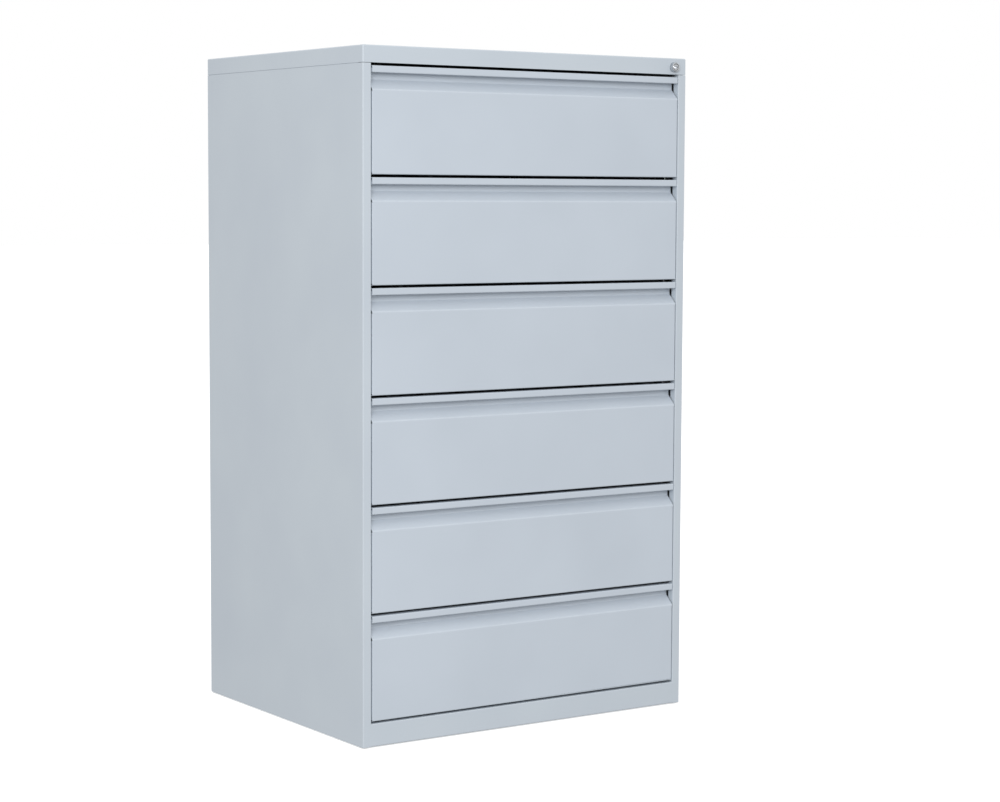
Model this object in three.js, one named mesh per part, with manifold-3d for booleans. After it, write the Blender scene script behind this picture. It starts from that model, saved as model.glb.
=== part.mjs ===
// Six-drawer steel file cabinet: folded sheet carcass, telescopic drawers with recessed pulls, and a
// cylinder lock that drops a full-height bar in front of a catch on every drawer.
// Millimetres, +Z up. The origin is the middle of the whole object's footprint, on the floor.
// The drawers open towards -Y. +X is the lock's side.

import * as THREE from "three";
import { mergeVertices } from "three/addons/utils/BufferGeometryUtils.js";
import Module from "manifold-3d";

const wasm = await Module();
wasm.setup();

// ---- Driving dimensions -------------------------------------------------------------------------

const WIDTH = 760;
const DEPTH = 622; // carcass, without the lock
const HEIGHT = 1321;
const SHEET = 1; // thickness of every folded panel
const CLEAR = 0.3; // gap between pieces that touch
const BEND = 2; // fold radius at the middle of the sheet
const BEND_STEPS = 3;

const LOCK_PROUD = 8; // how far the lock stands out of the front
const FRONT = (LOCK_PROUD - DEPTH) / 2; // y of the front plane
const BACK = FRONT + DEPTH;
const SIDE = WIDTH / 2;
const LIFT = 2; // panels stay this far above the floor

const STILE_WIDTH = 18.5;
const STILE_DEPTH = 15.5;
const REAR_RETURN = 28;
const OPENING = SIDE - STILE_WIDTH; // half the width between the stiles
const TAB_FRONT = FRONT + 17; // ends of the tab that joins a side panel to the lid
const TAB_BACK = BACK - 10;
const TAB_OVERLAP = 26; // of the tab inside the side panel
const TAB_TOP = HEIGHT - 7;
const WELD_HEIGHT = 22;
const WELD_LAP = 0.1; // a weld reaches this far into both sheets

const DRAWER_COUNT = 6;
const DRAWER_PITCH = 206.4;
const FRONT_GAP = 5.4; // between one drawer front and the next
const PLINTH_GAP = 4.4; // between the plinth and the lowest drawer front
const PLINTH_TOP = 46;
const CAP_SKIRT = 32.4;
const CAP_SEAM = 0.8;
const BRACE_FOOT = 11; // from the front plane to the back of the brace's lower lip
const BRACE_SHELF = 20; // from the front plane to the back of the brace's upper lip
const BRACE_TOP_GAP = 0.7; // between the brace and the lid
const BRACE_HALF = SIDE - 20;

// ---- Drawer -------------------------------------------------------------------------------------

const FRONT_HEIGHT = DRAWER_PITCH - FRONT_GAP;
const FRONT_HALF = OPENING - 2.2; // half the width of a drawer front, which clears the stiles
const LIP_HEIGHT = 13; // strip at the top that the fingers pull
const LIP_HEM = 2.6; // from the strip to its turned-in edge
const LIP_HEM_HEIGHT = 7;
const RECESS_DEPTH = 19.4;
const RECESS_WALL_END = 25; // below the top edge: the recess wall ends and the slope starts
const FACE_TOP = 43.8; // below the top edge: the slope meets the flat face
const SLOPE_BEND = 4; // soft folds at both ends of the slope
const FRONT_RETURN = 14; // edges turned back round the flat face
const EDGE_NOTCH = 1; // from the side edges' turned part to the slope's fold

const INNER_FRONT_Y = FRONT + RECESS_DEPTH + SHEET + CLEAR;
const INNER_FRONT_HALF = 357;
const INNER_FRONT_FOOT = 3; // above the front's bottom edge
const INNER_FRONT_DROP = 7; // below the front's top edge
const INNER_FRONT_RETURN = 6;

const TRAY_Y = INNER_FRONT_Y + SHEET + CLEAR;
const TRAY_END = 283;
const TRAY_HALF = 344.6;
const TRAY_LIFT = 8; // tray floor above the front's bottom edge
const TRAY_HEIGHT = 145;
const TRAY_HEM = 5;

// ---- Runners ------------------------------------------------------------------------------------

const RUNNER_STEEL = 1.2;
const RUNNER_BEND = 1;
const RUNNER_HEIGHT_ABOVE_TRAY = 45; // runner's middle above the tray floor
const RUNNER_Z = TRAY_LIFT + RUNNER_HEIGHT_ABOVE_TRAY;
const INNER_RUNNER = { web: TRAY_HALF + CLEAR, lips: 352.6, half: 12.5, start: -285, end: 282 };
const MIDDLE_RUNNER = { web: 355.4, lips: 347, half: 18, start: -274.5, end: 285 };
const OUTER_RUNNER = { web: 358.2, lips: 345.9, half: 23, start: -275, end: 289 };

const UPRIGHT_WEB = 358;
const UPRIGHT_EDGE = 377.2;
const UPRIGHT_WIDTH = 30;
const UPRIGHT_STARTS = [-268, 255];
const UPRIGHT_STEEL = 1.5;
const UPRIGHT_TOP_GAP = 3; // below the side panel's top edge

// ---- Base and back ------------------------------------------------------------------------------

const BACK_PANEL_LIFT = 2; // above the side panels' lower edge
const BACK_PANEL_DROP = 3; // below the lid's top
const PAN_TOP = 42;
const PAN_BOTTOM = 6;
const PAN_FRONT = FRONT + 20.5;
const PAN_BACK = BACK - 2 * SHEET - 0.8; // clear of the back panel
const PAN_HALF = SIDE - SHEET - CLEAR;
const PLINTH_RETURN = 18;
const GUSSET = 64;
const GUSSET_BOTTOM = 14;
const GUSSET_STEEL = 3;
const GUSSET_LAP = 0.5; // a gusset is welded this far into the pan's turned edge
const FOOT_X = 345;
const FOOT_YS = { front: -255, rear: 280 };
const STUD_RADIUS = 4;
const STUD_HOLE_RADIUS = 4.4;
const STUD_TOP = PAN_TOP - 6;
const FOOT_RADIUS = 19;
const FOOT_RIM = 3.5; // height of the glide's rim
const FOOT_TOP = 7;
const FOOT_SHOULDER = 13; // radius where the glide's cone ends
const FOOT_NUT_RADIUS = 7.5;

// ---- Lock ---------------------------------------------------------------------------------------

const LOCK_X = 349;
const LOCK_Z = 1303;
const BARREL_RADIUS = 9.5;
const BARREL_END = FRONT + 16;
const BARREL_CHAMFER = 0.8;
const HOLE_DEPTH = 6; // of the hole through the lid and the brace
const NUT_RADIUS = 12.5;
const NUT_Y = [FRONT + 3.1, FRONT + 7.5];
const PLUG_RADIUS = 6;
const PLUG_SET_BACK = 0.5; // of its face inside the barrel's rim
const KEYWAY_HALF_WIDTH = 4.2;
const KEYWAY_HALF_HEIGHT = 0.9;
const KEYWAY_DEPTH = 9;
const TAIL = 6; // square end of the plug
const TAIL_PROUD = 0.5; // beyond the cam
const CAM_Y = BARREL_END + 0.6;
const CAM_STEEL = 2;
const CAM_HUB_RADIUS = 7.5;
const CAM_TIP_RADIUS = 4.5;
const CAM_RADIUS = 12; // from the lock's axis to the drive pin
const PIN_RADIUS = 2.5;
const PIN_PLAY = 0.8; // round the pin in the bar's slot
const PIN_PROUD = 0.6; // beyond the bar
const PIN_SHIFT = CAM_RADIUS * Math.SQRT1_2; // the cam points up and out at 45 degrees when unlocked
const BAR_X = [365, 377];
const BAR_Y = [-281.5, -279];
const BAR_BOTTOM = 125;
const BAR_HEAD_START = LOCK_X + 2;
const BAR_HEAD_HALF = 6.1; // height of the widened head above and below the pin
const TAB_X = 350.5;
const CATCH_Z = TRAY_LIFT + 105; // middle of the tray's catch above the front's bottom edge
const CATCH_HALF = 7;
const CATCH_STEEL = 3;
const CATCH_GAP = 1.5; // behind the bar
const CATCH_REACH = 11; // out from the tray's side
const TAB_ABOVE_CATCH = 9; // from the catch's middle to the tab's lower edge when unlocked
const TAB_HEIGHT = 12;
const GUIDE_BOTTOM = BAR_BOTTOM + 12;
const GUIDE_HEIGHT = 14;
const GUIDE_PLAY = 0.4; // round the bar
const GUIDE_WALL = 1.8; // in front of the bar and behind it
const GUIDE_LIP = 1.2; // on the bar's inner edge

// ---- Finishes -----------------------------------------------------------------------------------

const FINISH = {
  paint: { color: 0xc9d0da, roughness: 0.45, metalness: 0 },
  trayPaint: { color: 0xc2c9d2, roughness: 0.5, metalness: 0 },
  zinc: { color: 0xb4b8bb, roughness: 0.35, metalness: 0.9 },
  nickel: { color: 0xd2d0cb, roughness: 0.18, metalness: 1 },
  brass: { color: 0xb9a06a, roughness: 0.35, metalness: 1 },
  black: { color: 0x2a2b2d, roughness: 0.6, metalness: 0 },
};

// ---- Shape helpers ------------------------------------------------------------------------------

// A closed geometry as a manifold-3d solid.
function solidOf(geometry) {
  const bare = geometry.clone();
  bare.deleteAttribute("normal");
  bare.deleteAttribute("uv");
  const merged = mergeVertices(bare, 1e-4);
  const mesh = new wasm.Mesh({
    numProp: 3,
    vertProperties: merged.attributes.position.array,
    triVerts: new Uint32Array(merged.index.array),
  });
  return new wasm.Manifold(mesh);
}

function geometryOf(solid) {
  const { vertProperties, triVerts } = solid.getMesh();
  const geometry = new THREE.BufferGeometry();
  geometry.setAttribute("position", new THREE.BufferAttribute(vertProperties, 3));
  geometry.setIndex(new THREE.BufferAttribute(triVerts, 1));
  geometry.computeVertexNormals();
  return geometry;
}

function union(solids) {
  return solids.reduce((all, next) => all.add(next));
}

// A box from its limits along X, Y and Z.
function box([x0, x1], [y0, y1], [z0, z1]) {
  const geometry = new THREE.BoxGeometry(x1 - x0, y1 - y0, z1 - z0);
  geometry.translate((x0 + x1) / 2, (y0 + y1) / 2, (z0 + z1) / 2);
  return solidOf(geometry);
}

function extrude(outline, length, along) {
  const shape = new THREE.Shape(outline.map(([u, v]) => new THREE.Vector2(u, v)));
  const geometry = new THREE.ExtrudeGeometry(shape, { depth: length, bevelEnabled: false, curveSegments: 8 });
  geometry.applyMatrix4(along);
  return solidOf(geometry);
}

// An outline in (y, z), drawn from x0 to x1.
function alongX(outline, [x0, x1]) {
  const turn = new THREE.Matrix4().makeBasis(
    new THREE.Vector3(0, 1, 0),
    new THREE.Vector3(0, 0, 1),
    new THREE.Vector3(1, 0, 0),
  );
  return extrude(outline, x1 - x0, turn.setPosition(x0, 0, 0));
}

// An outline in (x, z), drawn from y0 to y1.
function alongY(outline, [y0, y1]) {
  const turn = new THREE.Matrix4().makeBasis(
    new THREE.Vector3(1, 0, 0),
    new THREE.Vector3(0, 0, 1),
    new THREE.Vector3(0, -1, 0),
  );
  return extrude(outline, y1 - y0, turn.setPosition(0, y1, 0));
}

// An outline in (x, y), drawn from z0 to z1.
function alongZ(outline, [z0, z1]) {
  return extrude(outline, z1 - z0, new THREE.Matrix4().setPosition(0, 0, z0));
}

// A solid turned about the vertical through (x, y), from a profile of [radius, z].
function turnedUpright(profile, x, y, segments) {
  const points = profile.map(([r, z]) => new THREE.Vector2(r, z));
  const geometry = new THREE.LatheGeometry(points, segments);
  geometry.rotateX(Math.PI / 2);
  geometry.translate(x, y, 0);
  return solidOf(geometry);
}

// A solid turned about the lock's axis, from a profile of [radius, y].
function turnedOnLockAxis(profile, segments) {
  const points = profile.map(([r, y]) => new THREE.Vector2(r, y));
  const geometry = new THREE.LatheGeometry(points, segments);
  geometry.translate(LOCK_X, 0, LOCK_Z);
  return solidOf(geometry);
}

function rodAlongY(radius, x, z, [y0, y1], segments = 24) {
  const geometry = new THREE.CylinderGeometry(radius, radius, y1 - y0, segments);
  geometry.translate(x, (y0 + y1) / 2, z);
  return solidOf(geometry);
}

function rodAlongZ(radius, x, y, [z0, z1], segments = 24) {
  const geometry = new THREE.CylinderGeometry(radius, radius, z1 - z0, segments);
  geometry.rotateX(Math.PI / 2);
  geometry.translate(x, y, (z0 + z1) / 2);
  return solidOf(geometry);
}

// Two limits in rising order, as the left side mirrors the right.
function span(a, b) {
  return [Math.min(a, b), Math.max(a, b)];
}

// The closed outline of a folded strip. The line is the middle of the sheet, with a point at each fold.
// A point's third value is its own fold radius.
function foldedStrip(line, thickness, usualRadius) {
  const left = [];
  const right = [];
  const step = (point, direction) => {
    const normal = new THREE.Vector2(-direction.y, direction.x).multiplyScalar(thickness / 2);
    left.push([point.x + normal.x, point.y + normal.y]);
    right.push([point.x - normal.x, point.y - normal.y]);
  };
  const origin = new THREE.Vector2();
  const points = line.map(([u, v]) => new THREE.Vector2(u, v));
  const directions = points.slice(1).map((point, i) => point.clone().sub(points[i]).normalize());
  step(points[0], directions[0]);
  for (let i = 1; i < points.length - 1; i++) {
    const into = directions[i - 1];
    const radius = line[i][2] ?? usualRadius;
    const angle = Math.atan2(into.cross(directions[i]), into.dot(directions[i]));
    const start = points[i].clone().addScaledVector(into, -radius * Math.tan(Math.abs(angle) / 2));
    const towardsCentre = new THREE.Vector2(-into.y, into.x).multiplyScalar(Math.sign(angle) * radius);
    const centre = start.clone().add(towardsCentre);
    for (let k = 0; k <= BEND_STEPS; k++) {
      const part = (angle * k) / BEND_STEPS;
      step(start.clone().rotateAround(centre, part), into.clone().rotateAround(origin, part));
    }
  }
  step(points.at(-1), directions.at(-1));
  return [...left, ...right.reverse()];
}

// ---- Carcass ------------------------------------------------------------------------------------

const CAP_BOTTOM = HEIGHT - CAP_SKIRT;
const PANEL_TOP = CAP_BOTTOM - CAP_SEAM;
const HALF_SHEET = SHEET / 2;

// Right side panel. Seen from above it is one strip: stile flank, stile, side, rear return.
function sidePanel() {
  const line = [
    [OPENING + HALF_SHEET, FRONT + STILE_DEPTH],
    [OPENING + HALF_SHEET, FRONT + HALF_SHEET],
    [SIDE - HALF_SHEET, FRONT + HALF_SHEET],
    [SIDE - HALF_SHEET, BACK - HALF_SHEET],
    [SIDE - REAR_RETURN, BACK - HALF_SHEET],
  ];
  const skin = alongZ(foldedStrip(line, SHEET, BEND), [LIFT, PANEL_TOP]);
  const tabInner = SIDE - 2 * SHEET - CLEAR;
  const tabBottom = PANEL_TOP - TAB_OVERLAP;
  const tab = box([tabInner, tabInner + SHEET], [TAB_FRONT, TAB_BACK], [tabBottom, TAB_TOP]);
  const weld = box(
    [tabInner + SHEET - WELD_LAP, SIDE - SHEET + WELD_LAP],
    [TAB_FRONT, TAB_BACK],
    [tabBottom, tabBottom + WELD_HEIGHT],
  );
  return union([skin, tab, weld]);
}

function roundedRectangle(halfX, y0, y1, radius) {
  const shape = new THREE.Shape();
  shape.moveTo(-halfX + radius, y0);
  shape.lineTo(halfX - radius, y0);
  shape.absarc(halfX - radius, y0 + radius, radius, -Math.PI / 2, 0);
  shape.absarc(halfX - radius, y1 - radius, radius, 0, Math.PI / 2);
  shape.absarc(-halfX + radius, y1 - radius, radius, Math.PI / 2, Math.PI);
  shape.absarc(-halfX + radius, y0 + radius, radius, Math.PI, 1.5 * Math.PI);
  return shape.getPoints(BEND_STEPS).map((point) => [point.x, point.y]);
}

// A lid with a skirt on all four sides, and a hole in front for the lock.
function topCap() {
  const outerRadius = BEND + HALF_SHEET;
  const outer = alongZ(roundedRectangle(SIDE, FRONT, BACK, outerRadius), [CAP_BOTTOM, HEIGHT]);
  const inside = roundedRectangle(SIDE - SHEET, FRONT + SHEET, BACK - SHEET, outerRadius - SHEET);
  const hollow = alongZ(inside, [CAP_BOTTOM - 1, HEIGHT - SHEET]);
  return outer.subtract(hollow).subtract(lockHole());
}

function lockHole() {
  return rodAlongY(BARREL_RADIUS + CLEAR, LOCK_X, LOCK_Z, [FRONT - 1, FRONT + HOLE_DEPTH]);
}

// A channel behind the cap's front skirt.
function topFrontBrace() {
  const web = FRONT + SHEET + CLEAR + HALF_SHEET;
  const top = HEIGHT - SHEET - BRACE_TOP_GAP - HALF_SHEET;
  const line = [
    [FRONT + BRACE_FOOT, CAP_BOTTOM + SHEET],
    [web, CAP_BOTTOM + SHEET],
    [web, top],
    [FRONT + BRACE_SHELF, top],
  ];
  return alongX(foldedStrip(line, SHEET, BEND), [-BRACE_HALF, BRACE_HALF]).subtract(lockHole());
}

function plinthRail() {
  const line = [
    [FRONT + PLINTH_RETURN, LIFT + HALF_SHEET],
    [FRONT + HALF_SHEET, LIFT + HALF_SHEET],
    [FRONT + HALF_SHEET, PLINTH_TOP - HALF_SHEET],
    [FRONT + PLINTH_RETURN, PLINTH_TOP - HALF_SHEET],
  ];
  return alongX(foldedStrip(line, SHEET, BEND), [-OPENING + CLEAR, OPENING - CLEAR]);
}

function backPanel() {
  const inner = BACK - 2 * SHEET - CLEAR;
  const half = PAN_HALF - BEND;
  return box([-half, half], [inner, inner + SHEET], [LIFT + BACK_PANEL_LIFT, HEIGHT - BACK_PANEL_DROP]);
}

// The floor of the carcass, with its edges turned down and a gusset for a foot in each corner.
function basePan() {
  const outer = box([-PAN_HALF, PAN_HALF], [PAN_FRONT, PAN_BACK], [PAN_BOTTOM, PAN_TOP]);
  const hollow = box(
    [-PAN_HALF + SHEET, PAN_HALF - SHEET],
    [PAN_FRONT + SHEET, PAN_BACK - SHEET],
    [PAN_BOTTOM - 1, PAN_TOP - SHEET],
  );
  let pan = outer.subtract(hollow);
  for (const side of [-1, 1]) {
    for (const end of ["front", "rear"]) {
      const [edge, inwards] = end === "front" ? [PAN_FRONT, 1] : [PAN_BACK, -1];
      const y = span(edge + inwards * GUSSET_LAP, edge + inwards * GUSSET);
      const x = span(side * (PAN_HALF - GUSSET_LAP), side * (PAN_HALF - GUSSET));
      pan = pan.add(box(x, y, [GUSSET_BOTTOM, GUSSET_BOTTOM + GUSSET_STEEL]));
      const depth = [GUSSET_BOTTOM - 1, GUSSET_BOTTOM + GUSSET_STEEL + 1];
      pan = pan.subtract(rodAlongZ(STUD_HOLE_RADIUS, side * FOOT_X, FOOT_YS[end], depth, 16));
    }
  }
  return pan;
}

// A glide with its lock nut and threaded stud.
function levellingFoot(side, y) {
  const nutTop = GUSSET_BOTTOM - CLEAR;
  const profile = [
    [0, 0],
    [FOOT_RADIUS - 1, 0],
    [FOOT_RADIUS, 1],
    [FOOT_RADIUS, FOOT_RIM],
    [FOOT_SHOULDER, FOOT_TOP],
    [FOOT_NUT_RADIUS, FOOT_TOP],
    [FOOT_NUT_RADIUS, nutTop],
    [STUD_RADIUS, nutTop],
    [STUD_RADIUS, STUD_TOP],
    [0, STUD_TOP],
  ];
  return turnedUpright(profile, side * FOOT_X, y, 16);
}

// ---- Runner frames ------------------------------------------------------------------------------

// Right-hand channel with its web at one X and its lips at another.
function channel({ web, lips, half, start, end }, thickness, z) {
  const inwards = Math.sign(lips - web);
  const middle = web + (inwards * thickness) / 2;
  const line = [
    [lips, z + half - thickness / 2],
    [middle, z + half - thickness / 2],
    [middle, z - half + thickness / 2],
    [lips, z - half + thickness / 2],
  ];
  return alongY(foldedStrip(line, thickness, RUNNER_BEND), [start, end]);
}

function upright(start) {
  const line = [
    [UPRIGHT_EDGE, start + UPRIGHT_STEEL / 2],
    [UPRIGHT_WEB + UPRIGHT_STEEL / 2, start + UPRIGHT_STEEL / 2],
    [UPRIGHT_WEB + UPRIGHT_STEEL / 2, start + UPRIGHT_WIDTH - UPRIGHT_STEEL / 2],
    [UPRIGHT_EDGE, start + UPRIGHT_WIDTH - UPRIGHT_STEEL / 2],
  ];
  return alongZ(foldedStrip(line, UPRIGHT_STEEL, BEND), [PAN_TOP + CLEAR, PANEL_TOP - UPRIGHT_TOP_GAP]);
}

// Two uprights with the fixed outer runners of all the drawers welded across them.
function runnerFrame() {
  const uprights = UPRIGHT_STARTS.map(upright);
  const channels = drawerBottoms().map((z) => channel(OUTER_RUNNER, RUNNER_STEEL, z + RUNNER_Z));
  return union([...uprights, ...channels]);
}

// ---- Drawer pieces, with z = 0 at the bottom edge of the drawer front ---------------------------

// Height of each drawer front's bottom edge, from the top drawer down.
function drawerBottoms() {
  const lowest = PLINTH_TOP + PLINTH_GAP;
  return Array.from({ length: DRAWER_COUNT }, (_, i) => lowest + (DRAWER_COUNT - 1 - i) * DRAWER_PITCH);
}

// One folded sheet: bottom return, flat face, slope, recess wall, top, lip strip and its hem.
function drawerFront() {
  const face = FRONT + HALF_SHEET;
  const wall = FRONT + RECESS_DEPTH + HALF_SHEET;
  const top = FRONT_HEIGHT - HALF_SHEET;
  const lipEnd = FRONT_HEIGHT - LIP_HEIGHT + HALF_SHEET;
  const line = [
    [FRONT + FRONT_RETURN, HALF_SHEET],
    [face, HALF_SHEET],
    [face, FRONT_HEIGHT - FACE_TOP, SLOPE_BEND],
    [wall, FRONT_HEIGHT - RECESS_WALL_END, SLOPE_BEND],
    [wall, top],
    [face, top],
    [face, lipEnd],
    [face + LIP_HEM, lipEnd],
    [face + LIP_HEM, lipEnd + LIP_HEM_HEIGHT],
  ];
  const sheet = alongX(foldedStrip(line, SHEET, LIP_HEM / 2), [-FRONT_HALF, FRONT_HALF]);
  const edgeTop = FRONT_HEIGHT - FACE_TOP - EDGE_NOTCH;
  const returns = [-1, 1].map((side) => {
    const x = span(side * FRONT_HALF, side * (FRONT_HALF - SHEET));
    return box(x, [FRONT + HALF_SHEET, FRONT + FRONT_RETURN], [HALF_SHEET, edgeTop]);
  });
  return union([sheet, ...returns]);
}

function drawerInnerFront() {
  const middle = INNER_FRONT_Y + HALF_SHEET;
  const top = FRONT_HEIGHT - INNER_FRONT_DROP - HALF_SHEET;
  const line = [
    [middle, INNER_FRONT_FOOT],
    [middle, top],
    [INNER_FRONT_Y + INNER_FRONT_RETURN, top],
  ];
  return alongX(foldedStrip(line, SHEET, BEND), [-INNER_FRONT_HALF, INNER_FRONT_HALF]);
}

// Floor, sides and back, with hemmed top edges and the catch that the lock bar's tab stops.
function drawerTray() {
  const wall = TRAY_HALF - HALF_SHEET;
  const top = TRAY_LIFT + TRAY_HEIGHT - HALF_SHEET;
  const line = [
    [-wall + TRAY_HEM, top],
    [-wall, top],
    [-wall, TRAY_LIFT + HALF_SHEET],
    [wall, TRAY_LIFT + HALF_SHEET],
    [wall, top],
    [wall - TRAY_HEM, top],
  ];
  const trough = alongY(foldedStrip(line, SHEET, BEND), [TRAY_Y, TRAY_END]);
  const backWall = box(
    [-wall, wall],
    [TRAY_END - SHEET, TRAY_END],
    [TRAY_LIFT + HALF_SHEET, TRAY_LIFT + TRAY_HEIGHT - HALF_SHEET],
  );
  const catchStart = BAR_Y[1] + CATCH_GAP;
  const catchPlate = box(
    [TRAY_HALF - HALF_SHEET, TRAY_HALF + CATCH_REACH],
    [catchStart, catchStart + CATCH_STEEL],
    [CATCH_Z - CATCH_HALF, CATCH_Z + CATCH_HALF],
  );
  return union([trough, backWall, catchPlate]);
}

// ---- Lock ---------------------------------------------------------------------------------------

// Fixed barrel, with the nut that holds it behind the brace.
function lockHousing() {
  const start = FRONT - LOCK_PROUD;
  const profile = [
    [PLUG_RADIUS + CLEAR, start],
    [BARREL_RADIUS - BARREL_CHAMFER, start],
    [BARREL_RADIUS, start + BARREL_CHAMFER],
    [BARREL_RADIUS, NUT_Y[0]],
    [NUT_RADIUS, NUT_Y[0]],
    [NUT_RADIUS, NUT_Y[1]],
    [BARREL_RADIUS, NUT_Y[1]],
    [BARREL_RADIUS, BARREL_END],
    [PLUG_RADIUS + CLEAR, BARREL_END],
    [PLUG_RADIUS + CLEAR, start],
  ];
  return turnedOnLockAxis(profile, 24);
}

function lockPlug() {
  const start = FRONT - LOCK_PROUD + PLUG_SET_BACK;
  const body = rodAlongY(PLUG_RADIUS, LOCK_X, LOCK_Z, [start, BARREL_END + CLEAR]);
  const tail = alongY(squareOnLockAxis(TAIL), [BARREL_END, CAM_Y + CAM_STEEL + TAIL_PROUD]);
  const keyway = box(
    [LOCK_X - KEYWAY_HALF_WIDTH, LOCK_X + KEYWAY_HALF_WIDTH],
    [start - 1, start + KEYWAY_DEPTH],
    [LOCK_Z - KEYWAY_HALF_HEIGHT, LOCK_Z + KEYWAY_HALF_HEIGHT],
  );
  return body.add(tail).subtract(keyway);
}

function squareOnLockAxis(size) {
  const half = size / 2;
  return [
    [LOCK_X - half, LOCK_Z - half],
    [LOCK_X + half, LOCK_Z - half],
    [LOCK_X + half, LOCK_Z + half],
    [LOCK_X - half, LOCK_Z + half],
  ];
}

// A hub and a short arm, with the drive pin that stands through the lock bar's slot.
function lockCam() {
  const y = [CAM_Y, CAM_Y + CAM_STEEL];
  const pinX = LOCK_X + PIN_SHIFT;
  const pinZ = LOCK_Z + PIN_SHIFT;
  const hub = rodAlongY(CAM_HUB_RADIUS, LOCK_X, LOCK_Z, y);
  const tip = rodAlongY(CAM_TIP_RADIUS, pinX, pinZ, y);
  const across = CAM_TIP_RADIUS * Math.SQRT1_2;
  const arm = alongY(
    [
      [LOCK_X + across, LOCK_Z - across],
      [pinX + across, pinZ - across],
      [pinX - across, pinZ + across],
      [LOCK_X - across, LOCK_Z + across],
    ],
    y,
  );
  const pin = rodAlongY(PIN_RADIUS, pinX, pinZ, [CAM_Y + CAM_STEEL / 2, BAR_Y[1] + PIN_PROUD], 16);
  const hole = alongY(squareOnLockAxis(TAIL + 2 * CLEAR), [y[0] - 1, y[1] + 1]);
  return union([hub, tip, arm, pin]).subtract(hole);
}

// The full-height bar, at its upper, unlocked position.
function lockBar() {
  const pinZ = LOCK_Z + PIN_SHIFT;
  const reach = PIN_RADIUS + PIN_PLAY;
  const slot = box(
    [LOCK_X + PIN_SHIFT - reach, LOCK_X + CAM_RADIUS + reach],
    [BAR_Y[0] - 1, BAR_Y[1] + 1],
    [pinZ - reach, pinZ + reach],
  );
  const strip = box(BAR_X, BAR_Y, [BAR_BOTTOM, pinZ + BAR_HEAD_HALF]);
  const head = box([BAR_HEAD_START, BAR_X[1]], BAR_Y, [pinZ - BAR_HEAD_HALF, pinZ + BAR_HEAD_HALF]);
  const tabs = drawerBottoms().map((z) => {
    const lower = z + CATCH_Z + TAB_ABOVE_CATCH;
    return box([TAB_X, BAR_X[0] + 1], BAR_Y, [lower, lower + TAB_HEIGHT]);
  });
  return union([strip, head, ...tabs]).subtract(slot);
}

// A bracket on the side panel that the lower end of the bar slides through.
function lockBarGuide() {
  const x = [BAR_X[0] - GUIDE_PLAY, BAR_X[1] + GUIDE_PLAY];
  const y = [BAR_Y[0] - GUIDE_PLAY, BAR_Y[1] + GUIDE_PLAY];
  const z = [GUIDE_BOTTOM, GUIDE_BOTTOM + GUIDE_HEIGHT];
  const block = box([x[0] - GUIDE_LIP, SIDE - SHEET - CLEAR], [y[0] - GUIDE_WALL, y[1] + GUIDE_WALL], z);
  const way = box(x, y, [z[0] - 1, z[1] + 1]);
  return block.subtract(way);
}

// ---- Assembly -----------------------------------------------------------------------------------

function piece(name, geometry, finish) {
  const mesh = new THREE.Mesh(geometry, new THREE.MeshStandardMaterial(FINISH[finish]));
  mesh.name = name;
  return mesh;
}

// The same right-hand geometry on both sides: the left one is its mirror image.
function pair(nameFor, geometry, finish) {
  const right = piece(nameFor("right"), geometry, finish);
  const left = piece(nameFor("left"), geometry, finish);
  left.scale.x = -1;
  return [left, right];
}

function carcass() {
  const group = new THREE.Group();
  group.add(...pair((side) => `${side}_side_panel`, geometryOf(sidePanel()), "paint"));
  group.add(piece("top_cap", geometryOf(topCap()), "paint"));
  group.add(piece("top_front_brace", geometryOf(topFrontBrace()), "paint"));
  group.add(piece("plinth_rail", geometryOf(plinthRail()), "paint"));
  group.add(piece("back_panel", geometryOf(backPanel()), "paint"));
  group.add(piece("base_pan", geometryOf(basePan()), "paint"));
  group.add(...pair((side) => `${side}_runner_frame`, geometryOf(runnerFrame()), "zinc"));
  for (const [end, y] of Object.entries(FOOT_YS)) {
    group.add(piece(`${end}_left_levelling_foot`, geometryOf(levellingFoot(-1, y)), "black"));
    group.add(piece(`${end}_right_levelling_foot`, geometryOf(levellingFoot(1, y)), "black"));
  }
  return group;
}

function lock() {
  const group = new THREE.Group();
  group.add(piece("lock_housing", geometryOf(lockHousing()), "nickel"));
  group.add(piece("lock_plug", geometryOf(lockPlug()), "nickel"));
  group.add(piece("lock_cam", geometryOf(lockCam()), "brass"));
  group.add(piece("lock_bar", geometryOf(lockBar()), "zinc"));
  group.add(piece("lock_bar_guide", geometryOf(lockBarGuide()), "black"));
  return group;
}

function drawers() {
  const group = new THREE.Group();
  const front = geometryOf(drawerFront());
  const innerFront = geometryOf(drawerInnerFront());
  const tray = geometryOf(drawerTray());
  const innerRunner = geometryOf(channel(INNER_RUNNER, RUNNER_STEEL, RUNNER_Z));
  const middleRunner = geometryOf(channel(MIDDLE_RUNNER, RUNNER_STEEL, RUNNER_Z));
  drawerBottoms().forEach((z, index) => {
    const name = `drawer_${index + 1}`;
    const drawer = new THREE.Group();
    drawer.position.z = z;
    drawer.add(piece(`${name}_front`, front, "paint"));
    drawer.add(piece(`${name}_inner_front`, innerFront, "trayPaint"));
    drawer.add(piece(`${name}_tray`, tray, "trayPaint"));
    drawer.add(...pair((side) => `${name}_${side}_inner_runner`, innerRunner, "zinc"));
    drawer.add(...pair((side) => `${name}_${side}_middle_runner`, middleRunner, "zinc"));
    group.add(drawer);
  });
  return group;
}

const cabinet = new THREE.Group();
cabinet.name = "file_cabinet";
cabinet.add(carcass(), lock(), drawers());

export default cabinet;
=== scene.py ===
import math

import bmesh
import bpy
from mathutils import Matrix, Vector


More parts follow.
